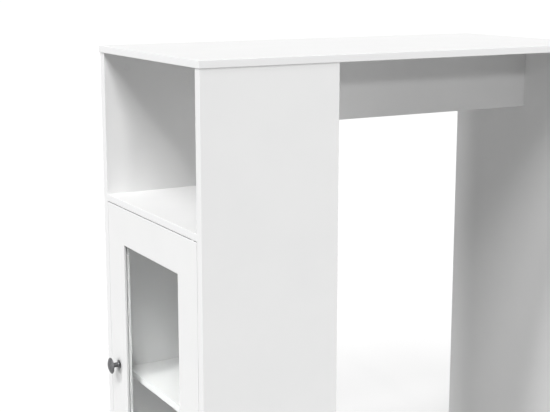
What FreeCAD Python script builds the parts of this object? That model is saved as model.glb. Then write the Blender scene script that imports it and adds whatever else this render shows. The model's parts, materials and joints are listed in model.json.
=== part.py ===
import FreeCAD, Part
import math
import os
from collections import namedtuple
from FreeCAD import Placement, Rotation, Vector

# A bar table with a storage tower at one end, in millimetres.
# X runs along the table, Y across it and Z up. The origin is on the floor, midway between the knob and
# the far end of the top, and midway across the table.
# The tower stands at the -X end and opens towards -X: an open niche above, a glazed door below.
# An apron runs under the top from the tower to the leg panel at the +X end.

# Whole table
table_length = 1020.0
table_depth = 500.0
table_height = 1100.0
top_thickness = 15.0
top_overhang = 2.0
edge_bevel = 0.8

# Uprights, tower and apron
upright_thickness = 20.0
tower_reach = 305.0
back_thickness = 15.0
shelf_thickness = 15.0
niche_height = 314.0
inner_shelf_top = 363.0
inner_shelf_setback = 37.0
inner_shelf_play = 1.0
apron_height = 150.0
apron_thickness = 15.0

# Door and its glazing
door_thickness = 15.0
door_gap = 2.0
rail_height = 81.5
stile_width = 87.5
window_lip = 5.0
rabbet_width = 8.0
glass_thickness = 3.0
glass_play = 1.0

# Door pivots
pivot_inset = 20.0
pivot_pin_diameter = 6.0
pivot_pin_door_depth = 14.0
pivot_pin_bush_depth = 9.0
bush_diameter = 10.0
bush_depth = 11.0
bush_flange_diameter = 14.0
thrust_gap = 0.3

# Door knob and its screw
knob_diameter = 36.0
knob_reach = 26.0
knob_base_diameter = 20.0
knob_base_thickness = 1.0
knob_neck_diameter = 10.6
knob_head_start = 19.0
knob_head_end = 21.0
knob_screw_diameter = 4.0
knob_screw_bite = 11.0
knob_screw_head_diameter = 8.0
knob_screw_head_height = 2.6

# Magnetic catch and strike plate
catch_inset = 62.0
catch_width = 46.0
catch_depth = 15.0
catch_ear_thickness = 4.0
catch_case_width = 24.0
catch_case_height = 14.0
magnet_width = 18.0
magnet_depth = 9.0
magnet_height = 8.0
strike_width = 18.0
strike_height = 30.0
strike_screw_drop = 9.0
strike_thickness = 1.5
strike_gap = 0.3
catch_screw_pitch = 35.0
catch_screw_diameter = 3.5
catch_screw_bite = 10.0
catch_screw_head_diameter = 6.5
catch_screw_head_height = 2.0

# Shelf supports
support_inset = 42.0
support_pin_diameter = 5.0
support_pin_depth = 9.0
support_width = 10.0
support_reach = 9.0
support_height = 6.0

# Floor glides
glide_height = 5.0
glide_diameter = 16.0
glide_inset = 32.0
glide_nail_diameter = 3.0
glide_nail_length = 14.0

# Cam fasteners and dowels
cam_inset = 54.0
cam_reach = 34.0
cam_diameter = 15.0
cam_height = 12.0
cam_face_depth = 7.5
cam_pocket_clearance = 0.3
cam_bolt_diameter = 5.0
cam_bolt_thread_length = 11.0
cam_bolt_head_diameter = 7.0
cam_bolt_head_length = 3.0
cap_diameter = 17.0
cap_thickness = 0.8
dowel_pitch = 32.0
dowel_diameter = 8.0
dowel_face_depth = 10.0
dowel_edge_depth = 20.0
back_fixing_low = 190.0
back_fixing_high = 620.0

# Flat sides of the small fasteners and of their holes, in place of round ones, and chords of the knob's arcs
slim_sides = 6
cam_sides = 8
cap_sides = 12
rim_chords = 3
dome_chords = 2

# Clearances
fit_clearance = 0.1
running_clearance = 0.05
hole_tip_gap = 0.5
overrun = 5.0

# Planes that the pieces share
knob_overhang = knob_reach - top_overhang
half_span = (table_length + knob_overhang) / 2
top_end = half_span
top_start = top_end - table_length
half_depth = table_depth / 2
top_underside = table_height - top_thickness
upright_foot = glide_height
tower_front = top_start + top_overhang
tower_rear = tower_front + tower_reach
outer_y = half_depth - top_overhang
inner_y = outer_y - upright_thickness
back_face = tower_rear - back_thickness
leg_outer = top_end - top_overhang
leg_inner = leg_outer - upright_thickness
niche_floor = top_underside - niche_height
upper_shelf_underside = niche_floor - shelf_thickness
bottom_top = upright_foot + shelf_thickness
inner_shelf_underside = inner_shelf_top - shelf_thickness
apron_bottom = top_underside - apron_height
apron_y = apron_thickness / 2
door_top = upper_shelf_underside - door_gap
door_bottom = bottom_top + door_gap
door_edge = inner_y - door_gap
door_rear = tower_front + door_thickness
door_middle = (door_top + door_bottom) / 2
window_top = door_top - rail_height
window_bottom = door_bottom + rail_height
window_edge = door_edge - stile_width
glass_front = tower_front + window_lip
glass_rear = glass_front + glass_thickness
pivot_x = tower_front + door_thickness / 2
pivot_y = -door_edge + pivot_inset
knob_y = door_edge - stile_width / 2
catch_y = door_edge - catch_inset
catch_front = door_rear + strike_thickness + strike_gap
magnet_middle = upper_shelf_underside - catch_case_height / 2
strike_top = magnet_middle + magnet_height / 2
strike_screw_z = upper_shelf_underside - catch_case_height - strike_screw_drop

# Directions
along_x = Vector(1, 0, 0)
along_y = Vector(0, 1, 0)
along_z = Vector(0, 0, 1)


def box(low, high):
    """A rectangular block between two opposite corners."""
    size = high - low
    return Part.makeBox(size.x, size.y, size.z, low)


def board(low, high):
    """A faced board with every edge lightly broken, as edge banding leaves it."""
    blank = box(low, high)
    return blank.makeChamfer(edge_bevel, blank.Edges)


def rod(diameter, start, end):
    """A cylinder from one point to another."""
    return Part.makeCylinder(diameter / 2, (end - start).Length, start, end - start)


def prism(diameter, start, end, sides):
    """A regular prism along X, Y or Z, as wide over its corners as a rod of the same diameter."""
    axis = end - start
    across = Vector(axis.y, axis.z, axis.x).normalize()
    turns = [2 * math.pi * step / sides for step in range(sides + 1)]
    corners = [Vector(math.cos(turn), math.sin(turn), 0) * (diameter / 2) for turn in turns]
    bar = Part.Face(Part.makePolygon(corners)).extrude(along_z * axis.Length)
    return placed(bar, facing(start, axis, across))


def turned(outline):
    """A body of revolution about Z from the (radius, height) points of its outline, which closes itself."""
    corners = [Vector(radius, 0, height) for radius, height in outline]
    return Part.Face(Part.makePolygon(corners + corners[:1])).revolve(Vector(), along_z, 360)


def arc_points(centre, radius, start_angle, end_angle, chords):
    """Points of an arc about a (radius, height) centre, with angles from the radius axis in degrees."""
    step = (end_angle - start_angle) / chords
    turns = [math.radians(start_angle + step * count) for count in range(chords + 1)]
    return [(centre[0] + radius * math.cos(turn), centre[1] + radius * math.sin(turn)) for turn in turns]


def placed(shape, place):
    """A copy of a shape moved to a placement."""
    return shape.transformed(place.Matrix, True)


def facing(point, out, side):
    """A placement at a point, with its Z looking out and its X looking to one side."""
    return Placement(point, Rotation(side, out.cross(side), out, "ZXY"))


# Cam fasteners: the bolt screws into the face of one board, and its head is caught by a cam in the other.

Fixing = namedtuple("Fixing", "cam_board bolt_board place dowel_place")


def fixing(cam_board, bolt_board, point, into, face, along):
    """One cam fastener at a joint, with a dowel beside it.

    The point is where the bolt crosses the joint, into runs from the bolt's board into the cam's board,
    face looks out of the side that the cam is bored in, and the dowel lies further along the joint.
    """
    dowel_point = point + along * dowel_pitch
    return Fixing(cam_board, bolt_board, facing(point, into, face), facing(dowel_point, into, face))


def side_fixings(name, side):
    """Fasteners at one side of the tower: top, niche floor, bottom panel and back panel."""
    inward = along_y * -side
    face_y = side * inner_y
    found = []
    for x, along in ((tower_front + cam_inset, along_x), (back_face - cam_inset, -along_x)):
        top_point = Vector(x, face_y + side * cam_face_depth, top_underside)
        found.append(fixing(name, "tabletop", top_point, -along_z, inward, along))
        for shelf, underside in (("upper_shelf", upper_shelf_underside), ("bottom_panel", upright_foot)):
            shelf_point = Vector(x, face_y, underside + cam_face_depth)
            found.append(fixing(shelf, name, shelf_point, inward, -along_z, along))
    for z in (back_fixing_low, back_fixing_high):
        back_point = Vector(back_face + cam_face_depth, face_y, z)
        found.append(fixing("tower_back_panel", name, back_point, inward, -along_x, along_z))
    return found


def leg_fixings():
    """Fasteners between the leg panel and the top."""
    found = []
    for side in (-1, 1):
        point = Vector(leg_inner + cam_face_depth, side * (outer_y - cam_inset), top_underside)
        found.append(fixing("leg_panel", "tabletop", point, -along_z, -along_x, along_y * -side))
    return found


def apron_fixings():
    """Fasteners from the apron's ends to the tower's back and to the leg panel."""
    bolt_y = apron_y - cam_face_depth
    ends = (("tower_back_panel", tower_rear, along_x), ("leg_panel", leg_inner, -along_x))
    found = []
    for end_name, end_x, into in ends:
        point = Vector(end_x, bolt_y, top_underside - apron_height / 2)
        found.append(fixing("apron_panel", end_name, point, into, along_y, -along_z))
    return found


fixings = side_fixings("front_side_panel", -1) + side_fixings("rear_side_panel", 1)
fixings += leg_fixings() + apron_fixings()

cam_bottom = cam_face_depth - cam_height
cam_edge = cam_reach - cam_diameter / 2
bolt_head_start = cam_reach - cam_bolt_head_length / 2
bolt_head_end = cam_reach + cam_bolt_head_length / 2


def cam_lock():
    """A cast cam: a short drum with a pocket in its side that takes the bolt's head."""
    floor = Vector(cam_bottom, 0, cam_reach)
    mouth = Vector(cam_face_depth, 0, cam_reach)
    drum = prism(cam_diameter, floor, mouth, cam_sides)
    pocket_end = bolt_head_end + cam_pocket_clearance
    pocket_diameter = cam_bolt_head_diameter + 2 * cam_pocket_clearance
    pocket = prism(pocket_diameter, Vector(0, 0, cam_edge - overrun), Vector(0, 0, pocket_end), slim_sides)
    return drum.cut(pocket).Solids[0]


def cam_bolt():
    """A bolt that is threaded below the joint and plain above it, with its head in the cam."""
    shank = prism(cam_bolt_diameter, along_z * -cam_bolt_thread_length, along_z * bolt_head_start, slim_sides)
    head = prism(cam_bolt_head_diameter, along_z * bolt_head_start, along_z * bolt_head_end, slim_sides)
    return shank.fuse(head).Solids[0]


def cam_cap():
    """A thin cover disc over the mouth of the cam's bore."""
    seat = Vector(cam_face_depth, 0, cam_reach)
    return prism(cap_diameter, seat, seat + along_x * cap_thickness, cap_sides)


def dowel():
    """A wooden dowel lying across the joint."""
    return prism(dowel_diameter, Vector(0, 0, -dowel_face_depth), Vector(0, 0, dowel_edge_depth), slim_sides)


def drilled(name, blank, other_bores=()):
    """A board with the fastener bores that fall in it, and any others that it has."""
    loose = 2 * fit_clearance
    joint = Vector()
    outside = along_z * overrun
    cam_floor = Vector(cam_bottom, 0, cam_reach)
    cam_mouth = Vector(cam_face_depth + overrun, 0, cam_reach)
    thread_tip = along_z * -(cam_bolt_thread_length + hole_tip_gap)
    dowel_tip = along_z * (dowel_edge_depth + hole_tip_gap)
    dowel_foot = along_z * -(dowel_face_depth + hole_tip_gap)
    cam_bore = prism(cam_diameter + loose, cam_floor, cam_mouth, cam_sides)
    shank_bore = prism(cam_bolt_diameter + loose, joint - outside, along_z * cam_reach, slim_sides)
    thread_bore = prism(cam_bolt_diameter + loose, thread_tip, joint + outside, slim_sides)
    dowel_edge_bore = prism(dowel_diameter + loose, joint - outside, dowel_tip, slim_sides)
    dowel_face_bore = prism(dowel_diameter + loose, dowel_foot, joint + outside, slim_sides)
    bores = list(other_bores)
    for item in fixings:
        if item.cam_board == name:
            bores.append(placed(cam_bore, item.place))
            bores.append(placed(shank_bore, item.place))
            bores.append(placed(dowel_edge_bore, item.dowel_place))
        if item.bolt_board == name:
            bores.append(placed(thread_bore, item.place))
            bores.append(placed(dowel_face_bore, item.dowel_place))
    return blank.cut(bores).Solids[0]


# Floor glides: nailed into the lower edges of the uprights.

def glide_points():
    """Where the glides sit: two under each tower side and two under the leg panel."""
    side_y = inner_y + upright_thickness / 2
    leg_x = leg_inner + upright_thickness / 2
    places = {
        "front_side_panel": [(tower_front + glide_inset, -side_y), (tower_rear - glide_inset, -side_y)],
        "rear_side_panel": [(tower_front + glide_inset, side_y), (tower_rear - glide_inset, side_y)],
        "leg_panel": [(leg_x, glide_inset - outer_y), (leg_x, outer_y - glide_inset)],
    }
    return {name: [Vector(x, y, 0) for x, y in spots] for name, spots in places.items()}


def floor_glides():
    """Plastic glides, each moulded on its nail."""
    head = along_z * glide_height
    nail_tip = along_z * (glide_height + glide_nail_length)
    nail = prism(glide_nail_diameter, head, nail_tip, slim_sides)
    glide = prism(glide_diameter, Vector(), head, cap_sides).fuse(nail).Solids[0]
    points = [point for spots in glide_points().values() for point in spots]
    return [placed(glide, Placement(point, Rotation())) for point in points]


def glide_bores(name):
    """Holes for the glides' nails in the lower edge of one upright."""
    top = along_z * (glide_height + glide_nail_length + hole_tip_gap)
    diameter = glide_nail_diameter + 2 * fit_clearance
    return [prism(diameter, point, point + top, slim_sides) for point in glide_points()[name]]


# Shelf supports: plugged into the tower sides under the loose inner shelf.

def support_places(side):
    """Placements of the two supports in one tower side, with Z looking into the tower."""
    inward = along_y * -side
    depth_places = (tower_front + inner_shelf_setback + support_inset, back_face - support_inset)
    return [facing(Vector(x, side * inner_y, inner_shelf_underside), inward, along_x) for x in depth_places]


def shelf_supports():
    """Flat-topped supports: a peg in the side panel and a block under the shelf."""
    found = []
    for side in (-1, 1):
        for place in support_places(side):
            point = place.Base
            inward = along_y * -side
            peg_middle = point - along_z * (support_height / 2)
            peg = prism(support_pin_diameter, peg_middle - inward * support_pin_depth, peg_middle, slim_sides)
            low = point - along_x * (support_width / 2) - along_z * support_height
            low.y = min(point.y, point.y + inward.y * support_reach)
            block = Part.makeBox(support_width, support_reach, support_height, low)
            found.append(block.fuse(peg).Solids[0])
    return found


def support_bores(side):
    """Holes for the supports' pegs in one tower side."""
    outward = along_y * side
    diameter = support_pin_diameter + 2 * fit_clearance
    drop = along_z * (support_height / 2)
    mouths = [place.Base - drop for place in support_places(side)]
    depth = support_pin_depth + hole_tip_gap
    lines = [(mouth + outward * depth, mouth - outward * overrun) for mouth in mouths]
    return [prism(diameter, tip, outside, slim_sides) for tip, outside in lines]


# Boards

def tabletop():
    """The top, lying on the tower, the apron and the leg panel."""
    low = Vector(top_start, -half_depth, top_underside)
    return drilled("tabletop", board(low, Vector(top_end, half_depth, table_height)))


def side_panel(name, side):
    """One side of the tower, from the glides to the top."""
    low = Vector(tower_front, min(side * inner_y, side * outer_y), upright_foot)
    high = Vector(tower_rear, max(side * inner_y, side * outer_y), top_underside)
    return drilled(name, board(low, high), support_bores(side) + glide_bores(name))


def tower_back_panel():
    """The tower's back, between the sides and flush with their rear edges."""
    low = Vector(back_face, -inner_y, upright_foot)
    return drilled("tower_back_panel", board(low, Vector(tower_rear, inner_y, top_underside)))


def upper_shelf():
    """The fixed shelf that is the niche's floor and carries the upper pivot and the catch."""
    low = Vector(tower_front, -inner_y, upper_shelf_underside)
    blank = board(low, Vector(back_face, inner_y, niche_floor))
    return drilled("upper_shelf", blank, [pivot_bush_bore(upper_pivot)] + catch_screw_bores())


def bottom_panel():
    """The tower's floor, which carries the lower pivot."""
    low = Vector(tower_front, -inner_y, upright_foot)
    blank = board(low, Vector(back_face, inner_y, bottom_top))
    return drilled("bottom_panel", blank, [pivot_bush_bore(lower_pivot)])


def inner_shelf():
    """The loose shelf behind the door, set back to let the door's hinge edge swing in."""
    low = Vector(tower_front + inner_shelf_setback, inner_shelf_play - inner_y, inner_shelf_underside)
    return board(low, Vector(back_face - inner_shelf_play, inner_y - inner_shelf_play, inner_shelf_top))


def apron_panel():
    """The apron on edge under the middle of the top, between the tower and the leg panel."""
    low = Vector(tower_rear, -apron_y, apron_bottom)
    return drilled("apron_panel", board(low, Vector(leg_inner, apron_y, top_underside)))


def leg_panel():
    """The end panel that carries the far end of the top."""
    low = Vector(leg_inner, -outer_y, upright_foot)
    blank = board(low, Vector(leg_outer, outer_y, top_underside))
    return drilled("leg_panel", blank, glide_bores("leg_panel"))


# Door pivots: a steel pin in each end of the hinge stile turns in a flanged bush in the shelf or the floor.

upper_pivot = facing(Vector(pivot_x, pivot_y, upper_shelf_underside), along_z, along_x)
lower_pivot = facing(Vector(pivot_x, pivot_y, bottom_top), -along_z, along_x)
flange_thickness = door_gap - thrust_gap


def pivot_bush_bore(pivot):
    """The blind bore for a bush, opening towards the door."""
    bore = rod(bush_diameter + 2 * fit_clearance, Vector(0, 0, -overrun), Vector(0, 0, bush_depth))
    return placed(bore, pivot)


def pivot_bush(pivot):
    """A flanged bush: its flange spaces the door from the board, its blind bore takes the pin."""
    inner = pivot_pin_diameter / 2 + running_clearance
    outer = bush_diameter / 2
    flange = bush_flange_diameter / 2
    bore_end = pivot_pin_bush_depth + hole_tip_gap
    bush = turned([(inner, -flange_thickness), (flange, -flange_thickness), (flange, 0), (outer, 0),
                   (outer, bush_depth), (0, bush_depth), (0, bore_end), (inner, bore_end)])
    return placed(bush, pivot)


def pivot_pin(pivot):
    """A steel pin, fixed in the door and running in the bush."""
    foot = -door_gap - pivot_pin_door_depth
    return placed(rod(pivot_pin_diameter, Vector(0, 0, foot), Vector(0, 0, pivot_pin_bush_depth)), pivot)


def pivot_pin_bore(pivot):
    """The hole for a pin in the door's edge."""
    foot = -door_gap - pivot_pin_door_depth - hole_tip_gap
    bore = rod(pivot_pin_diameter + 2 * fit_clearance, Vector(0, 0, foot), Vector(0, 0, 0))
    return placed(bore, pivot)


# Door: one panel with a rebated window, a glass pane and four mitred beads behind it.

def window_corners(grow):
    """The window's corners across the door, (y, z), grown by a margin."""
    y = window_edge + grow
    low = window_bottom - grow
    high = window_top + grow
    return [(-y, low), (y, low), (y, high), (-y, high)]


def window_block(grow, front, rear):
    """A block as large as the window and a margin, between two depths."""
    low, high = window_corners(grow)[0], window_corners(grow)[2]
    return box(Vector(front, *low), Vector(rear, *high))


def glazing_bead(index):
    """One of the four beads in the rebate, mitred at both ends."""
    inner = window_corners(0)
    outer = window_corners(rabbet_width)
    following = (index + 1) % len(inner)
    corners = [outer[index], outer[following], inner[following], inner[index], outer[index]]
    outline = Part.makePolygon([Vector(glass_rear, y, z) for y, z in corners])
    return Part.Face(outline).extrude(along_x * (door_rear - glass_rear))


def door_glass():
    """The pane between the front lip and the beads."""
    return window_block(rabbet_width - glass_play, glass_front, glass_rear)


def door_panel():
    """The door: an inset panel, flush with the tower's front edges."""
    blank = board(Vector(tower_front, -door_edge, door_bottom), Vector(door_rear, door_edge, door_top))
    window = window_block(0, tower_front - overrun, door_rear + overrun)
    rebate = window_block(rabbet_width, glass_front, door_rear + overrun)
    panel = blank.cut([window, rebate]).Solids[0]
    front_rim = window_block(edge_bevel, tower_front - edge_bevel, tower_front + edge_bevel).BoundBox
    window_edges = [edge for edge in panel.Edges if front_rim.isInside(edge.BoundBox)]
    panel = panel.makeChamfer(edge_bevel, window_edges)
    pin_bores = [pivot_pin_bore(upper_pivot), pivot_pin_bore(lower_pivot)]
    return panel.cut(pin_bores + [knob_screw_bore(), strike_screw_bore()]).Solids[0]


# Knob: a turned metal mushroom knob, drawn against the door by a screw from behind.

knob_place = facing(Vector(tower_front, knob_y, door_middle), -along_x, along_y)


def door_knob():
    """A thin foot that sweeps into a slim stem, and a mushroom head with a thin round rim and a low dome."""
    foot_radius = knob_base_diameter / 2
    neck_radius = knob_neck_diameter / 2
    sweep_radius = foot_radius - neck_radius
    sweep_centre = (foot_radius, knob_base_thickness + sweep_radius)
    rim_radius = (knob_head_end - knob_head_start) / 2
    rim_centre = (knob_diameter / 2 - rim_radius, knob_head_start + rim_radius)
    dome_rise = knob_reach - knob_head_end
    dome_radius = (rim_centre[0] ** 2 + dome_rise ** 2) / (2 * dome_rise)
    dome_centre = (0, knob_reach - dome_radius)
    dome_angle = math.degrees(math.asin(rim_centre[0] / dome_radius))
    outline = [(0, 0), (foot_radius, 0)]
    outline += arc_points(sweep_centre, sweep_radius, 270, 180, rim_chords)
    outline += [(neck_radius, knob_head_start)]
    outline += arc_points(rim_centre, rim_radius, -90, 90, rim_chords)
    outline += arc_points(dome_centre, dome_radius, 90 - dome_angle, 90, dome_chords)[1:]
    bore_tip = along_z * (knob_screw_bite + hole_tip_gap)
    bore = prism(knob_screw_diameter + 2 * fit_clearance, along_z * -overrun, bore_tip, slim_sides)
    return placed(turned(outline).cut(bore).Solids[0], knob_place)


def knob_screw():
    """A pan-head screw through the door into the knob."""
    seat = along_z * -door_thickness
    shank = prism(knob_screw_diameter, seat, along_z * knob_screw_bite, slim_sides)
    head = prism(knob_screw_head_diameter, seat - along_z * knob_screw_head_height, seat, cap_sides)
    return placed(shank.fuse(head).Solids[0], knob_place)


def knob_screw_bore():
    """The hole for the knob's screw, right through the door."""
    rear = along_z * -(door_thickness + overrun)
    bore = prism(knob_screw_diameter + 2 * fit_clearance, rear, along_z * overrun, slim_sides)
    return placed(bore, knob_place)


# Catch: a magnet in a plastic case under the niche's floor meets a steel plate on the door.

catch_middle_x = catch_front + catch_depth / 2


def magnet_block(clearance):
    """The magnet's block, or the pocket for it when a clearance is added."""
    half_width = magnet_width / 2 + clearance
    half_height = magnet_height / 2 + clearance
    low = Vector(catch_front, catch_y - half_width, magnet_middle - half_height)
    high = Vector(catch_front + magnet_depth, catch_y + half_width, magnet_middle + half_height)
    return box(low, high)


def catch_case():
    """The catch's case: a nose that holds the magnet, and an ear at each side for a screw."""
    rear = catch_front + catch_depth
    nose_low = Vector(catch_front, catch_y - catch_case_width / 2, upper_shelf_underside - catch_case_height)
    nose = box(nose_low, Vector(rear, catch_y + catch_case_width / 2, upper_shelf_underside))
    ear_low = Vector(catch_front, catch_y - catch_width / 2, upper_shelf_underside - catch_ear_thickness)
    ears = box(ear_low, Vector(rear, catch_y + catch_width / 2, upper_shelf_underside))
    case = nose.fuse(ears).removeSplitter()
    return case.cut([magnet_block(fit_clearance)] + catch_screw_bores()).Solids[0]


def pan_screw(seat, tip):
    """A small pan-head screw from the seat of its head to its tip."""
    out = (seat - tip).normalize()
    head = prism(catch_screw_head_diameter, seat, seat + out * catch_screw_head_height, cap_sides)
    return prism(catch_screw_diameter, tip, seat, slim_sides).fuse(head).Solids[0]


def pan_screw_bore(seat, tip):
    """The hole for such a screw, from outside its seat to just past its tip."""
    out = (seat - tip).normalize()
    diameter = catch_screw_diameter + 2 * fit_clearance
    return prism(diameter, tip - out * hole_tip_gap, seat + out * overrun, slim_sides)


def catch_screw_lines():
    """The head seat and the tip of each screw that holds the catch under the shelf."""
    half_pitch = catch_screw_pitch / 2
    points = [Vector(catch_middle_x, catch_y + half_pitch * side, upper_shelf_underside) for side in (-1, 1)]
    return [(point - along_z * catch_ear_thickness, point + along_z * catch_screw_bite) for point in points]


def catch_screws():
    """Two screws up through the catch's ears into the shelf."""
    return [pan_screw(seat, tip) for seat, tip in catch_screw_lines()]


def catch_screw_bores():
    """Holes for the catch's screws, through the ears and into the shelf."""
    return [pan_screw_bore(seat, tip) for seat, tip in catch_screw_lines()]


def strike_screw_line():
    """The head seat and the tip of the strike plate's screw, clear below the catch."""
    point = Vector(door_rear, catch_y, strike_screw_z)
    return point + along_x * strike_thickness, point - along_x * catch_screw_bite


def strike_plate():
    """A steel plate on the back of the door: its upper end meets the magnet, its lower end is screwed on."""
    low = Vector(door_rear, catch_y - strike_width / 2, strike_top - strike_height)
    plate = box(low, Vector(door_rear + strike_thickness, catch_y + strike_width / 2, strike_top))
    return plate.cut(strike_screw_bore()).Solids[0]


def strike_screw():
    """The strike plate's screw into the back of the door."""
    return pan_screw(*strike_screw_line())


def strike_screw_bore():
    """The hole for the strike plate's screw."""
    return pan_screw_bore(*strike_screw_line())


nodes = {
    "tabletop": [tabletop()],
    "front_side_panel": [side_panel("front_side_panel", -1)],
    "rear_side_panel": [side_panel("rear_side_panel", 1)],
    "tower_back_panel": [tower_back_panel()],
    "upper_shelf": [upper_shelf()],
    "bottom_panel": [bottom_panel()],
    "inner_shelf": [inner_shelf()],
    "shelf_supports": shelf_supports(),
    "apron_panel": [apron_panel()],
    "leg_panel": [leg_panel()],
    "floor_glides": floor_glides(),
    "cam_locks": [placed(cam_lock(), item.place) for item in fixings],
    "cam_bolts": [placed(cam_bolt(), item.place) for item in fixings],
    "cam_caps": [placed(cam_cap(), item.place) for item in fixings],
    "dowels": [placed(dowel(), item.dowel_place) for item in fixings],
    "door_panel": [door_panel()],
    "door_glass": [door_glass()],
    "lower_glazing_bead": [glazing_bead(0)],
    "knob_side_glazing_bead": [glazing_bead(1)],
    "upper_glazing_bead": [glazing_bead(2)],
    "hinge_side_glazing_bead": [glazing_bead(3)],
    "pivot_bushes": [pivot_bush(upper_pivot), pivot_bush(lower_pivot)],
    "pivot_pins": [pivot_pin(upper_pivot), pivot_pin(lower_pivot)],
    "door_knob": [door_knob()],
    "knob_screw": [knob_screw()],
    "catch_case": [catch_case()],
    "catch_magnet": [magnet_block(0)],
    "catch_screws": catch_screws(),
    "strike_plate": [strike_plate()],
    "strike_screw": [strike_screw()],
}

os.makedirs("parts", exist_ok=True)
for node, solids in nodes.items():
    shape = solids[0] if len(solids) == 1 else Part.makeCompound(solids)
    shape.exportStep(f"parts/{node}.step")
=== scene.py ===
import json
import math

import bmesh
import bpy
import numpy as np
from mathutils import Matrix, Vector

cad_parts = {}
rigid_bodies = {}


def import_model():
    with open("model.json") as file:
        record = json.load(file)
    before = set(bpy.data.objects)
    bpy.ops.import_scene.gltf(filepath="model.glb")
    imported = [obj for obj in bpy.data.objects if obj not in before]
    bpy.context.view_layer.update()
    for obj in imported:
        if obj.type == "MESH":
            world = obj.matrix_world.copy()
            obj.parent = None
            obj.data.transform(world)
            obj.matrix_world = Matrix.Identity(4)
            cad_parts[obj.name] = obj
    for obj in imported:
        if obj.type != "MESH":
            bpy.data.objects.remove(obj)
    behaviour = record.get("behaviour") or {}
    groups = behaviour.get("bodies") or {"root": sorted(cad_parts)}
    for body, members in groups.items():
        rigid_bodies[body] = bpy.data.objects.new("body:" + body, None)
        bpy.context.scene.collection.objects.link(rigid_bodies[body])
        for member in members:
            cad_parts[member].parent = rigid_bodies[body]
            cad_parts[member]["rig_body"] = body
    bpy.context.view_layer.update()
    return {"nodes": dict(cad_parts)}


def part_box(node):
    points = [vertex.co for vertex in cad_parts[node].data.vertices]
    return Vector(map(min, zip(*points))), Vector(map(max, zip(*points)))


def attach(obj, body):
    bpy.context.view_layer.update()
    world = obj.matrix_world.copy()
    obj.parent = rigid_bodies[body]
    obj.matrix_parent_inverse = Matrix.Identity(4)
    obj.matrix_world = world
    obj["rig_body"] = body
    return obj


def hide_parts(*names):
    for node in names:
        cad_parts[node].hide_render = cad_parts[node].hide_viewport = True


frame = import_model()


# Boards of the top, the tower, the apron and the leg
# Chipboard faced with white melamine paper, sawn to size and banded on all four edges with thin white
# plastic. The banding is trimmed to a small radius and leaves a hairline where it meets the face.

edge_radius = 0.0009
edge_steps = 4
merge_distance = 1e-7
sharp_angle = math.radians(40)
noise_low, noise_high = 0.3, 0.7
paper_tones = (0.796, 0.797, 0.796), (0.812, 0.812, 0.810)
banding_tones = (0.800, 0.801, 0.802), (0.808, 0.809, 0.810)
glue_line = [(0.42, 1.0), (0.5, 0.9), (0.58, 1.0)]
board_nodes = [
    "tabletop", "front_side_panel", "rear_side_panel", "tower_back_panel", "upper_shelf",
    "bottom_panel", "inner_shelf", "apron_panel", "leg_panel",
]


def mesh_piece(name, shell, material, node, band=None):
    """A piece that stands for one node and rides on its body.

    The shell is (points, faces). Points that meet at its poles and corners become one, and its faces
    look out. The band gives each point's share of edge banding.
    """
    mesh = bpy.data.meshes.new(name)
    mesh.from_pydata(shell[0].tolist(), [], shell[1])
    if band is not None:
        mesh.attributes.new("band", "FLOAT", "POINT").data.foreach_set("value", band)
    sewn = bmesh.new()
    sewn.from_mesh(mesh)
    bmesh.ops.remove_doubles(sewn, verts=sewn.verts, dist=merge_distance)
    bmesh.ops.recalc_face_normals(sewn, faces=sewn.faces)
    sewn.to_mesh(mesh)
    sewn.free()
    mesh.materials.append(material)
    mesh.polygons.foreach_set("use_smooth", np.ones(len(mesh.polygons), bool))
    mesh.set_sharp_from_angle(angle=sharp_angle)
    piece = bpy.data.objects.new(name, mesh)
    bpy.context.scene.collection.objects.link(piece)
    piece.modifiers.new("level faces", "WEIGHTED_NORMAL").keep_sharp = True
    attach(piece, frame["nodes"][node]["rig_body"])
    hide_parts(node)


def grid_faces(rows, columns, close_rows=False, close_columns=True):
    """Quads between neighbouring points of a grid that is stored row by row."""
    row = np.arange(rows if close_rows else rows - 1)[:, None]
    column = np.arange(columns if close_columns else columns - 1)[None, :]
    row_next = (row + 1) % rows
    column_next = (column + 1) % columns
    corners = [row * columns + column, row * columns + column_next,
               row_next * columns + column_next, row_next * columns + column]
    return np.stack(np.broadcast_arrays(*corners), -1).reshape(-1, 4).tolist()


def rounded_block(low, high, radius, steps):
    """Points, faces and normals of a block with rounded edges.

    A sphere of the edge radius is cut along its three great circles, and each eighth moves out to its
    own corner: point = corner of the core block + radius * (cos a cos b, cos a sin b, sin a).
    """
    quarter = np.linspace(0, np.pi / 2, steps + 1)
    rise = np.concatenate([quarter - np.pi / 2, quarter])
    turn = np.concatenate([quarter + np.pi / 2 * count for count in range(4)])
    up = np.repeat([-1.0, 1.0], steps + 1)
    side = np.repeat([[1, 1], [-1, 1], [-1, -1], [1, -1]], steps + 1, axis=0).astype(float)
    a, b = rise[:, None], turn[None, :]
    normal = np.stack(np.broadcast_arrays(np.cos(a) * np.cos(b), np.cos(a) * np.sin(b), np.sin(a)), -1)
    sign = np.stack(np.broadcast_arrays(side[None, :, 0], side[None, :, 1], up[:, None]), -1)
    middle, half = (high + low) / 2, (high - low) / 2
    points = (middle + sign * (half - radius) + radius * normal).reshape(-1, 3)
    columns = len(turn)
    corner_columns = np.arange(4) * (steps + 1)
    last_row = (len(rise) - 1) * columns
    caps = [corner_columns[::-1].tolist(), (last_row + corner_columns).tolist()]
    return points, grid_faces(len(rise), columns) + caps, normal.reshape(-1, 3)


def node_maker(tree):
    """A maker of shader nodes, which takes their inputs by name, or by place as i0, i1 and so on."""
    def add(kind, settings=None, **inputs):
        node = tree.nodes.new("ShaderNode" + kind)
        for key, value in (settings or {}).items():
            setattr(node, key, value)
        for key, value in inputs.items():
            by_place = key[0] == "i" and key[1:].isdigit()
            socket = node.inputs[int(key[1:]) if by_place else key]
            if isinstance(value, bpy.types.NodeSocket):
                tree.links.new(value, socket)
            else:
                socket.default_value = value
        return node

    return add


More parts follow.
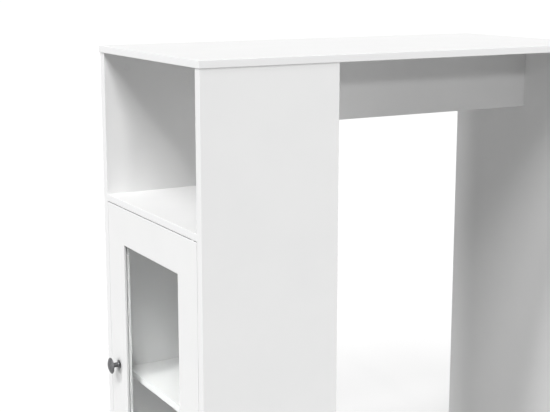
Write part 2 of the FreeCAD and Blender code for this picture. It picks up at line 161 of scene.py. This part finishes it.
def node_material(name):
    """A new material with its Principled shader, and the makers of nodes and links in its tree."""
    material = bpy.data.materials.new(name)
    material.use_nodes = True
    tree = material.node_tree
    return material, tree.nodes["Principled BSDF"], node_maker(tree), tree.links.new


def noise(add, place, scale, **inputs):
    """An even noise over the object's own coordinates."""
    return add("TexNoise", Vector=place, Scale=scale, **inputs).outputs["Fac"]


def ramp(add, factor, stops):
    """A colour ramp through (place, grey or colour) stops."""
    node = add("ValToRGB", Fac=factor)
    bar = node.color_ramp.elements
    while len(bar) < len(stops):
        bar.new(0.5)
    for element, (place, tone) in zip(bar, stops):
        element.position = place
        element.color = (*tone, 1) if hasattr(tone, "__len__") else (tone, tone, tone, 1)
    return node.outputs["Color"]


def two_tone(add, factor, dark, light):
    """A colour that goes from dark to light over the range that holds most of a noise."""
    return ramp(add, factor, [(noise_low, dark), (noise_high, light)])


def mixed(add, factor, first, second, blend="MIX"):
    """Two colours blended by a factor."""
    settings = {"data_type": "RGBA", "blend_type": blend}
    return add("Mix", settings, i0=factor, i6=first, i7=second).outputs[2]


def between(add, factor, low, high):
    """A factor of 0 to 1 brought between two limits."""
    return add("MapRange", Value=factor, i3=low, i4=high).outputs[0]


def relief(add, height, strength, depth):
    """Normals of a surface that rises and falls with the height."""
    return add("Bump", Height=height, Strength=strength, Distance=depth).outputs["Normal"]


def faced_board_material():
    """White melamine: faintly cloudy, with a pearl grain in gloss and relief, and the banding's hairline."""
    material, shader, add, link = node_material("white melamine")
    place = add("TexCoord").outputs["Object"]
    cloud = noise(add, place, scale=9.0, Detail=3.0, Roughness=0.55)
    grain = noise(add, place, scale=1400.0, Detail=2.0, Roughness=0.6)
    band = add("Attribute", {"attribute_name": "band"}).outputs["Fac"]
    face = mixed(add, band, two_tone(add, cloud, *paper_tones), two_tone(add, cloud, *banding_tones))
    tone = mixed(add, 1.0, face, ramp(add, band, glue_line), blend="MULTIPLY")
    link(tone, shader.inputs["Base Color"])
    link(between(add, grain, low=0.44, high=0.56), shader.inputs["Roughness"])
    link(relief(add, grain, strength=0.06, depth=0.0002), shader.inputs["Normal"])
    shader.inputs["Specular IOR Level"].default_value = 0.2
    return material


def faced_board(node, material):
    """A board with the banding marked on its four narrow sides."""
    low, high = (np.array(corner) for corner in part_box(node))
    points, faces, normals = rounded_block(low, high, edge_radius, edge_steps)
    thin = int(np.argmin(high - low))
    band = 1 - np.abs(normals[:, thin])
    mesh_piece(node + "_board", (points, faces), material, node, band)


melamine = faced_board_material()
for node in board_nodes:
    faced_board(node, melamine)


# Cam fasteners and dowels
# At each joint a zinc-plated bolt in one board is drawn up by a die-cast zinc cam in the other, beside a
# fluted beech dowel. All lie in bores inside the boards; only the thin moulded cap over each cam shows.

cap_columns = 48
cap_rim_steps = 6
same_place_digits = 6
metal_grain_ratio = 9
beech_tones = [(0.3, (0.42, 0.27, 0.15)), (0.5, (0.53, 0.36, 0.21)), (0.75, (0.6, 0.43, 0.27))]
beech_stretch = (1.0, 0.15, 1.0)


def dress(node, material):
    """A node that keeps its own mesh and gets a material."""
    node_mesh = frame["nodes"][node].data
    node_mesh.materials.clear()
    node_mesh.materials.append(material)


def solid_boxes(node):
    """The lowest and highest corner of each solid of a node, found by spreading labels along its edges."""
    mesh = frame["nodes"][node].data
    points = np.empty(len(mesh.vertices) * 3, np.float32)
    mesh.vertices.foreach_get("co", points)
    points = points.reshape(-1, 3).astype(float)
    edges = np.empty(len(mesh.edges) * 2, np.int32)
    mesh.edges.foreach_get("vertices", edges)
    same = np.unique(points.round(same_place_digits), axis=0, return_inverse=True)[1].ravel()
    ends = same[edges.reshape(-1, 2)]
    label, before = np.arange(same.max() + 1), None
    while before is None or (label != before).any():
        before = label.copy()
        lowest = np.minimum(label[ends[:, 0]], label[ends[:, 1]])
        np.minimum.at(label, ends[:, 0], lowest)
        np.minimum.at(label, ends[:, 1], lowest)
    owner = label[same]
    return [(points[owner == one].min(0), points[owner == one].max(0)) for one in np.unique(owner)]


def arc(centre, radius, start, end, steps):
    """Points of an arc in the plane of radius and height, with angles in degrees from the radius axis."""
    turn = np.radians(np.linspace(start, end, steps + 1))
    return np.stack([centre[0] + radius * np.cos(turn), centre[1] + radius * np.sin(turn)], -1)


def turned(profile, foot, axis, columns):
    """Points and faces of a body of revolution: foot + height * axis + radius * (cos t * u + sin t * v).

    The profile holds (radius, height) points from pole to pole, and the axis lies along X, Y or Z.
    """
    axis = np.asarray(axis, float)
    u = np.roll(axis, 1)
    turn = np.linspace(0, 2 * np.pi, columns, endpoint=False)[:, None]
    spoke = np.cos(turn) * u + np.sin(turn) * np.cross(axis, u)
    radius, height = profile[:, 0, None, None], profile[:, 1, None, None]
    points = np.asarray(foot, float) + height * axis + radius * spoke
    return points.reshape(-1, 3), grid_faces(len(profile), columns)


def joined(shells):
    """Several shells as one."""
    starts = np.cumsum([0] + [len(shell[0]) for shell in shells])
    faces = [[corner + start for corner in face] for shell, start in zip(shells, starts) for face in shell[1]]
    return np.concatenate([shell[0] for shell in shells]), faces


def cap_shell(low, high):
    """A disc whose rim is half round, turned about the thin way of one cap's box."""
    thin = int(np.argmin(high - low))
    axis = np.eye(3)[thin]
    thickness = (high - low)[thin]
    radius = (high - low).max() / 2
    rim = arc((radius - thickness / 2, thickness / 2), thickness / 2, -90, 90, cap_rim_steps)
    profile = np.concatenate([[(0, 0)], rim, [(0, thickness)]])
    return turned(profile, (low + high) / 2 - axis * thickness / 2, axis, cap_columns)


def moulded_plastic(name, dark, light):
    """Moulded plastic: an even tone with a faint cloud, and the fine spark-eroded texture of the mould."""
    material, shader, add, link = node_material(name)
    place = add("TexCoord").outputs["Object"]
    cloud = noise(add, place, scale=120.0, Detail=2.0)
    spark = noise(add, place, scale=4200.0, Detail=1.0)
    link(two_tone(add, cloud, dark, light), shader.inputs["Base Color"])
    link(between(add, spark, low=0.42, high=0.58), shader.inputs["Roughness"])
    link(relief(add, spark, strength=0.12, depth=0.0001), shader.inputs["Normal"])
    return material


def bare_metal(name, dark, light, coarse, rough, relief_strength):
    """Bare or plated metal: a mottled tone, an uneven gloss and a grain of the given coarseness."""
    material, shader, add, link = node_material(name)
    place = add("TexCoord").outputs["Object"]
    mottle = noise(add, place, scale=coarse, Detail=4.0, Roughness=0.6)
    grain = noise(add, place, scale=coarse * metal_grain_ratio, Detail=2.0)
    link(two_tone(add, mottle, dark, light), shader.inputs["Base Color"])
    link(between(add, mottle, *rough), shader.inputs["Roughness"])
    link(relief(add, grain, relief_strength, depth=0.0001), shader.inputs["Normal"])
    shader.inputs["Metallic"].default_value = 1.0
    return material


def beech_material():
    """Raw beech: pale pinkish wood with fine darker flecks along its grain."""
    material, shader, add, link = node_material("raw beech")
    place = add("TexCoord").outputs["Object"]
    along = add("Mapping", Vector=place, Scale=beech_stretch).outputs[0]
    fleck = noise(add, along, scale=1500.0, Detail=3.0)
    link(ramp(add, fleck, beech_tones), shader.inputs["Base Color"])
    link(relief(add, fleck, strength=0.2, depth=0.0001), shader.inputs["Normal"])
    shader.inputs["Roughness"].default_value = 0.7
    return material


plated_steel = bare_metal(
    "plated steel", dark=0.5, light=0.62, coarse=300.0, rough=(0.28, 0.4), relief_strength=0.05)
cast_zinc = bare_metal(
    "die-cast zinc", dark=0.3, light=0.42, coarse=900.0, rough=(0.4, 0.6), relief_strength=0.3)
white_plastic = moulded_plastic("white moulded plastic", dark=0.77, light=0.8)
dress("cam_locks", cast_zinc)
dress("cam_bolts", plated_steel)
dress("dowels", beech_material())
cap_shells = [cap_shell(low, high) for low, high in solid_boxes("cam_caps")]
mesh_piece("cam_cap_discs", joined(cap_shells), white_plastic, "cam_caps")


# Floor glides
# Grey moulded plastic buttons, each on a steel nail, that keep the boards off the floor. Two are driven
# into the lower edge of each tower side and of the leg panel.

glide_radius = 0.008
glide_height = 0.005
glide_rounding = 0.0014
glide_edge_steps = 6
glide_columns = 48
nail_radius = 0.0015
nail_length = 0.014
nail_point_length = 0.003


def glide_shell(low, high):
    """One glide turned about its middle: a round-edged button with its nail upwards."""
    edge = arc((glide_radius - glide_rounding, glide_rounding), glide_rounding, -90, 0, glide_edge_steps)
    nail_tip = glide_height + nail_length
    profile = np.concatenate([[(0, 0)], edge, [
        (glide_radius, glide_height), (nail_radius, glide_height),
        (nail_radius, nail_tip - nail_point_length), (0, nail_tip)]])
    return turned(profile, (*(low + high)[:2] / 2, low[2]), (0, 0, 1), glide_columns)


grey_plastic = moulded_plastic("grey moulded plastic", dark=0.24, light=0.28)
glide_shells = [glide_shell(low, high) for low, high in solid_boxes("floor_glides")]
mesh_piece("floor_glide_buttons", joined(glide_shells), grey_plastic, "floor_glides")


# Shelf supports
# Small zinc-plated steel blocks, each with a round peg that is plugged into a bored hole in a tower side.
# The inner shelf lies loose on the four of them.

support_reach = 0.009
support_rounding = 0.0008
support_steps = 4
peg_radius = 0.0025
peg_chamfer = 0.0006
peg_columns = 24


def support_shell(low, high):
    """One support: a round-edged block inside the cupboard, and its turned peg in the side panel."""
    side = np.sign(low[1] + high[1])
    inner, outer = sorted((low[1], high[1]), key=abs)
    wall = inner + side * support_reach
    block_low = np.array([low[0], min(inner, wall), low[2]])
    block_high = np.array([high[0], max(inner, wall), high[2]])
    block = rounded_block(block_low, block_high, support_rounding, support_steps)[:2]
    length = abs(outer - wall)
    profile = np.array([
        (0, 0), (peg_radius, 0), (peg_radius, length - peg_chamfer), (peg_radius - peg_chamfer, length),
        (0, length)])
    middle = (low + high) / 2
    peg = turned(profile, (middle[0], wall, middle[2]), (0, side, 0), peg_columns)
    return joined([block, peg])


support_shells = [support_shell(low, high) for low, high in solid_boxes("shelf_supports")]
mesh_piece("shelf_support_blocks", joined(support_shells), plated_steel, "shelf_supports")


# Door panel, pane and glazing beads
# One faced panel with a window sawn through it and a rebate behind. A clear float-glass pane lies against
# the lip, and four mitred beads, rounded on the edge that shows, hold it from behind.

stile_width = 0.0875
rail_height = 0.0815
window_lip = 0.005
rebate_width = 0.008
pane_thickness = 0.003
pane_ior = 1.11
pane_tones = (0.828, 0.836, 0.832), (0.837, 0.844, 0.840)
pane_shadow_tone = (0.93, 0.935, 0.932, 1)
bead_rounding = 0.0025
bead_steps = 8
bead_nodes = [
    "lower_glazing_bead", "knob_side_glazing_bead", "upper_glazing_bead", "hinge_side_glazing_bead",
]

door_low, door_high = (np.array(corner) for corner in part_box("door_panel"))
door_middle = (door_low + door_high) / 2
door_half = (door_high - door_low)[1:] / 2
window_half = door_half - (stile_width, rail_height)
corner_signs = np.array([(-1, -1), (1, -1), (1, 1), (-1, 1)])
corner_count = len(corner_signs)


def window_rows(depths, halves, signs):
    """Rows of points round the window: (depth, middle + sign * half width, middle + sign * half height)."""
    across = door_middle[1:] + signs[None] * halves[:, None]
    depth = np.broadcast_to(depths[:, None, None], (*across.shape[:2], 1))
    return np.concatenate([depth, across], -1).reshape(-1, 3)


def door_panel_shell():
    """One profile carried round the window with mitred corners, and each point's share of banding."""
    front, rear = door_low[0], door_high[0]
    corner = (edge_radius, edge_radius)
    outer_front = arc(corner, edge_radius, 180, 270, edge_steps)
    outer_rear = arc(corner, edge_radius, 270, 180, edge_steps)
    window_front = arc(corner, edge_radius, 270, 180, edge_steps)
    sawn = np.array([(0, window_lip), (rebate_width, window_lip), (rebate_width, rear - front)])
    window_profile = np.concatenate([window_front, sawn])
    halves = np.concatenate([door_half - outer_front[:, :1], window_half + window_profile[:, :1],
                             door_half - outer_rear[:, :1]])
    depths = np.concatenate([front + outer_front[:, 1], front + window_profile[:, 1],
                             rear - outer_rear[:, 1]])
    rounding = np.sin(np.linspace(0, np.pi / 2, edge_steps + 1))
    band = np.concatenate([rounding[::-1], rounding, [1, 0, 0], rounding])
    points = window_rows(depths, halves, corner_signs)
    faces = grid_faces(len(depths), corner_count, close_rows=True)
    return (points, faces), np.repeat(band, corner_count)


def bead_shell(index):
    """One bead between two mitres: a square strip whose inner rear edge is rounded."""
    rear = door_high[0]
    front = door_low[0] + window_lip + pane_thickness
    rounded = arc((bead_rounding, bead_rounding), bead_rounding, 180, 270, bead_steps)
    growth = np.concatenate([[0], rounded[:, 0], [rebate_width, rebate_width]])
    depths = np.concatenate([[front], rear - rounded[:, 1], [rear, front]])
    signs = corner_signs[[index, (index + 1) % corner_count]]
    points = window_rows(depths, window_half + growth[:, None], signs)
    ends = [list(range(0, len(points), 2)), list(range(len(points) - 1, 0, -2))]
    return points, grid_faces(len(depths), 2, close_rows=True, close_columns=False) + ends


def clear_glass():
    """Clear glass that lamps shine through, with little mirroring and faint uneven streaks of tone."""
    material, shader, add, link = node_material("clear float glass")
    place = add("TexCoord").outputs["Object"]
    wave = noise(add, place, scale=14.0, Detail=1.0)
    link(two_tone(add, wave, *pane_tones), shader.inputs["Base Color"])
    shader.inputs["Transmission Weight"].default_value = 1.0
    shader.inputs["Roughness"].default_value = 0.0
    shader.inputs["IOR"].default_value = pane_ior
    lamp_ray = add("LightPath").outputs["Is Shadow Ray"]
    through = add("BsdfTransparent", Color=pane_shadow_tone).outputs[0]
    mix = add("MixShader", i0=lamp_ray, i1=shader.outputs[0], i2=through).outputs[0]
    link(mix, material.node_tree.nodes["Material Output"].inputs["Surface"])
    return material


panel_shell, panel_band = door_panel_shell()
mesh_piece("door_panel_board", panel_shell, melamine, "door_panel", panel_band)
for index, node in enumerate(bead_nodes):
    mesh_piece(node + "_strip", bead_shell(index), melamine, node)
dress("door_glass", clear_glass())


# Door pivots
# A ground steel pin in each end of the hinge stile turns in a flanged white plastic bush, which also
# carries the door's weight at the bottom.

dress("pivot_pins", plated_steel)
dress("pivot_bushes", white_plastic)


# Knob and its screw
# A mushroom knob, turned from zinc and plated in a dark satin tone. A zinc-plated pan-head screw from
# behind the door draws its foot against the panel.

knob_radius = 0.018
knob_base_radius = 0.010
knob_base_thickness = 0.001
knob_neck_radius = 0.0053
knob_head_start = 0.019
knob_head_end = 0.021
knob_tip = 0.026
knob_edge = 0.0004
knob_edge_steps = 4
knob_sweep_steps = 14
knob_rim_steps = 18
knob_dome_steps = 16
knob_columns = 96
knob_tones = [(0.3, (0.10, 0.10, 0.105)), (0.75, (0.16, 0.16, 0.165))]
knob_screw_sizes = {"head_radius": 0.004, "head_height": 0.0026, "shank_radius": 0.002, "length": 0.026}
screw_pitch = 0.0013
screw_columns = 48
screw_rings_per_turn = 8
screw_crown_rings = 26
screw_point_share = 1.5
thread_depth_share = 0.22
head_wall_share = 0.35
slot_half_width_share = 0.14
slot_half_length_share = 0.55
slot_depth_share = 0.5

knob_low, knob_high = (np.array(corner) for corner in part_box("door_knob"))
knob_place = np.array([door_low[0], *(knob_low + knob_high)[1:] / 2])


def knob_profile():
    """Thin foot, swept stem, round rim and low dome as arcs that follow one another."""
    sweep = knob_base_radius - knob_neck_radius
    rim = (knob_head_end - knob_head_start) / 2
    rim_middle = knob_radius - rim
    rise = knob_tip - knob_head_end
    dome = (rim_middle ** 2 + rise ** 2) / (2 * rise)
    dome_angle = math.degrees(math.asin(rim_middle / dome))
    foot_edge = (knob_base_radius - knob_edge, knob_edge)
    foot_sweep = (knob_base_radius, knob_base_thickness + sweep)
    head_corner = (knob_neck_radius + knob_edge, knob_head_start - knob_edge)
    return np.concatenate([
        [(0, 0)],
        arc(foot_edge, knob_edge, -90, 0, knob_edge_steps),
        arc(foot_sweep, sweep, 270, 180, knob_sweep_steps),
        arc(head_corner, knob_edge, 180, 90, knob_edge_steps),
        arc((rim_middle, knob_head_start + rim), rim, -90, 90, knob_rim_steps),
        arc((0, knob_tip - dome), dome, 90 - dome_angle, 90, knob_dome_steps)[1:],
    ])


def dark_metal():
    """Dark satin plating, worn paler here and there, with fine turning rings in its gloss and relief."""
    material, shader, add, link = node_material("dark satin plating")
    place = add("TexCoord").outputs["Object"]
    offset = add("VectorMath", {"operation": "SUBTRACT"}, i0=place, i1=(0.0, *knob_place[1:])).outputs[0]
    flat = add("VectorMath", {"operation": "MULTIPLY"}, i0=offset, i1=(0.0, 1.0, 1.0)).outputs[0]
    radius = add("VectorMath", {"operation": "LENGTH"}, i0=flat).outputs["Value"]
    ring = add("TexNoise", {"noise_dimensions": "1D"}, W=radius, Scale=3500.0, Detail=2.0).outputs["Fac"]
    wear = noise(add, place, scale=220.0, Detail=3.0)
    link(ramp(add, wear, knob_tones), shader.inputs["Base Color"])
    link(between(add, ring, low=0.34, high=0.5), shader.inputs["Roughness"])
    link(relief(add, ring, strength=0.08, depth=0.0001), shader.inputs["Normal"])
    shader.inputs["Metallic"].default_value = 0.85
    return material


def pan_screw(seat, out, head_radius, head_height, shank_radius, length):
    """A pan-head screw as one surface of revolution that two further terms shape.

    The shank's radius follows a helix: shank * (1 - depth * |2 * fraction(height / pitch - t / 2 pi) - 1|).
    The crown sinks by depth * the larger of exp(-(x / width)^4 - (y / length)^6) and the same with x and y
    exchanged, which are two smooth slots at right angles.
    """
    seat, out = np.asarray(seat, float), np.asarray(out, float)
    u = np.roll(out, 1)
    rings = screw_rings_per_turn * round(length / screw_pitch)
    shank = np.linspace(-length + screw_point_share * shank_radius, -screw_pitch, rings)
    crown = np.linspace(0, np.pi / 2, screw_crown_rings)
    crown_height = head_height * (head_wall_share + (1 - head_wall_share) * np.sin(crown))
    profile = np.concatenate([
        [(0, -length)],
        np.stack([np.full(rings, shank_radius), shank], -1),
        [(shank_radius, 0), (head_radius, 0)],
        np.stack([head_radius * np.cos(crown), crown_height], -1),
    ])
    points, faces = turned(profile, seat, out, screw_columns)
    offset = points - seat
    height = offset @ out
    x, y = offset @ u / head_radius, offset @ np.cross(out, u) / head_radius
    threaded = (height < -screw_pitch / 2) & (height > -length + shank_radius)
    lead = np.abs(2 * ((height / screw_pitch - np.arctan2(y, x) / (2 * np.pi)) % 1) - 1)
    shrink = np.where(threaded, 1 - thread_depth_share * lead, 1)[:, None]
    upright = height[:, None] * out
    slots = np.maximum(np.exp(-(x / slot_half_width_share) ** 4 - (y / slot_half_length_share) ** 6),
                       np.exp(-(y / slot_half_width_share) ** 4 - (x / slot_half_length_share) ** 6))
    sink = np.where(height > head_height / 2, slot_depth_share * head_height * slots, 0)[:, None]
    return seat + upright + (offset - upright) * shrink - sink * out, faces


knob_shell = turned(knob_profile(), knob_place, (-1, 0, 0), knob_columns)
mesh_piece("door_knob_turned", knob_shell, dark_metal(), "door_knob")
knob_screw = pan_screw((door_high[0], *knob_place[1:]), (1, 0, 0), **knob_screw_sizes)
mesh_piece("knob_screw_threaded", knob_screw, plated_steel, "knob_screw")


# Magnetic catch and strike plate
# A ferrite magnet in a white moulded case, screwed up under the niche's floor, holds a plated steel plate
# that is screwed to the back of the door.

catch_ear_thickness = 0.004
catch_screw_length = 0.014
strike_thickness = 0.0015
strike_screw_length = 0.0115
catch_screw_sizes = {"head_radius": 0.00325, "head_height": 0.002, "shank_radius": 0.00175}


def screw_seat(low, high, along, place):
    """The seat of a screw's head: midway across its box, at a place along its axis."""
    seat = (low + high) / 2
    seat[along] = place
    return seat


ear_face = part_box("upper_shelf")[0][2] - catch_ear_thickness
catch_screws = [
    pan_screw(screw_seat(low, high, 2, ear_face), (0, 0, -1), length=catch_screw_length, **catch_screw_sizes)
    for low, high in solid_boxes("catch_screws")
]
strike_seat = screw_seat(*solid_boxes("strike_screw")[0], 0, door_high[0] + strike_thickness)
strike_screw = pan_screw(strike_seat, (1, 0, 0), length=strike_screw_length, **catch_screw_sizes)
ferrite = bare_metal(
    "dull ferrite", dark=0.02, light=0.035, coarse=700.0, rough=(0.5, 0.7), relief_strength=0.25)
strike_steel = bare_metal(
    "plated strike plate", dark=0.48, light=0.6, coarse=420.0, rough=(0.3, 0.45), relief_strength=0.08)
mesh_piece("catch_screws_threaded", joined(catch_screws), plated_steel, "catch_screws")
mesh_piece("strike_screw_threaded", strike_screw, plated_steel, "strike_screw")
dress("catch_case", white_plastic)
dress("catch_magnet", ferrite)
dress("strike_plate", strike_steel)


# Floor and backdrop
# A wide level sheet in a matt pale tone under the glides. It shows white to the camera, keeps the table's
# shadow and gives little light back.

floor_reach = 60.0
floor_tone = (0.33, 0.33, 0.33, 1)
floor_glow = 0.68


def white_rays(add):
    """1 for a ray that reaches the camera with only gloss or glass on its way, and 0 for any other."""
    path = add("LightPath").outputs
    seen = path["Is Camera Ray"]
    for ray in ("Is Glossy Ray", "Is Transmission Ray"):
        seen = add("Math", {"operation": "MAXIMUM"}, i0=seen, i1=path[ray]).outputs[0]
    direct = add("Math", {"operation": "LESS_THAN"}, i0=path["Diffuse Depth"], i1=0.5).outputs[0]
    return add("Math", {"operation": "MULTIPLY"}, i0=seen, i1=direct).outputs[0]


def stage_floor():
    """A square with corners at plus and minus the reach, whose glow only white rays see."""
    corners = np.array([[-1, -1, 0], [1, -1, 0], [1, 1, 0], [-1, 1, 0]]) * floor_reach
    mesh = bpy.data.meshes.new("floor")
    mesh.from_pydata(corners.tolist(), [], [(0, 1, 2, 3)])
    floor = bpy.data.objects.new("floor", mesh)
    bpy.context.scene.collection.objects.link(floor)
    material, shader, add, link = node_material("pale floor")
    shader.inputs["Base Color"].default_value = floor_tone
    shader.inputs["Roughness"].default_value = 0.9
    shader.inputs["Specular IOR Level"].default_value = 0.0
    glow = add("Emission", Color=(1, 1, 1, 1), Strength=floor_glow).outputs[0]
    both = add("AddShader", i0=shader.outputs[0], i1=glow).outputs[0]
    mix = add("MixShader", i0=white_rays(add), i1=shader.outputs[0], i2=both).outputs[0]
    link(mix, material.node_tree.nodes["Material Output"].inputs["Surface"])
    mesh.materials.append(material)


stage_floor()


# Light
# A high soft lamp over the near corner and two lamps before the tower, one of them low. Low lamps shine
# along the table from its far end and on both its long sides, and a pale sky fills the shade.

sky_strength = 0.15


def lamp(name, source, strength, spread, sheen=True):
    """A distant lamp that shines from one direction, as wide as its spread in degrees.

    Without sheen it fills shade and leaves no gloss where it grazes a face.
    """
    data = bpy.data.lights.new(name, "SUN")
    data.energy = strength * math.pi
    data.angle = math.radians(spread)
    item = bpy.data.objects.new(name, data)
    item.rotation_euler = Vector(source).to_track_quat("Z", "Y").to_euler()
    item.visible_glossy = sheen
    bpy.context.scene.collection.objects.link(item)


def pale_sky():
    """An even sky that lights the table softly and shows white to white rays."""
    world = bpy.data.worlds.new("sky")
    world.use_nodes = True
    bpy.context.scene.world = world
    tree = world.node_tree
    add = node_maker(tree)
    sky = tree.nodes["Background"]
    sky.inputs["Color"].default_value = (1, 1, 1, 1)
    sky.inputs["Strength"].default_value = sky_strength
    white = add("Background", Color=(1, 1, 1, 1))
    mix = add("MixShader", i0=white_rays(add), i1=sky.outputs[0], i2=white.outputs[0])
    tree.links.new(mix.outputs[0], tree.nodes["World Output"].inputs["Surface"])


lamp("high lamp", source=(-0.2, -0.26, 0.42), strength=0.588, spread=24)
lamp("front lamp", source=(-0.6, -0.14, 0.787), strength=0.425, spread=8)
lamp("low front lamp", source=(-0.98, 0, 0.17), strength=0.362, spread=15)
lamp("end lamp", source=(0.94, -0.33, 0.08), strength=0.707, spread=6)
lamp("low lamp", source=(-0.1, -0.954, 0.283), strength=0.132, spread=4)
lamp("rear lamp", source=(0.25, 0.968, 0.03), strength=0.38, spread=8, sheen=False)
pale_sky()


# Camera
# It stands before the tower's near corner, a little above the top, and looks down past that corner. Its
# frame is shifted down slightly, so that less tilt is needed and the uprights lean less.

camera_place = Vector((-1.4168, -2.1470, 1.2619))
camera_turn = math.radians(29.625)
camera_tilt = math.radians(10.516)
camera_lens = 75.38
camera_shift = -0.04

camera = bpy.data.cameras.new("camera")
camera.lens = camera_lens
camera.sensor_width = 36.0
camera.shift_y = camera_shift
camera.clip_end = 200.0
camera_item = bpy.data.objects.new("camera", camera)
camera_item.location = camera_place
camera_item.rotation_euler = (math.pi / 2 - camera_tilt, 0, -camera_turn)
bpy.context.scene.collection.objects.link(camera_item)
bpy.context.scene.camera = camera_item
bpy.context.scene.view_settings.view_transform = "Standard"
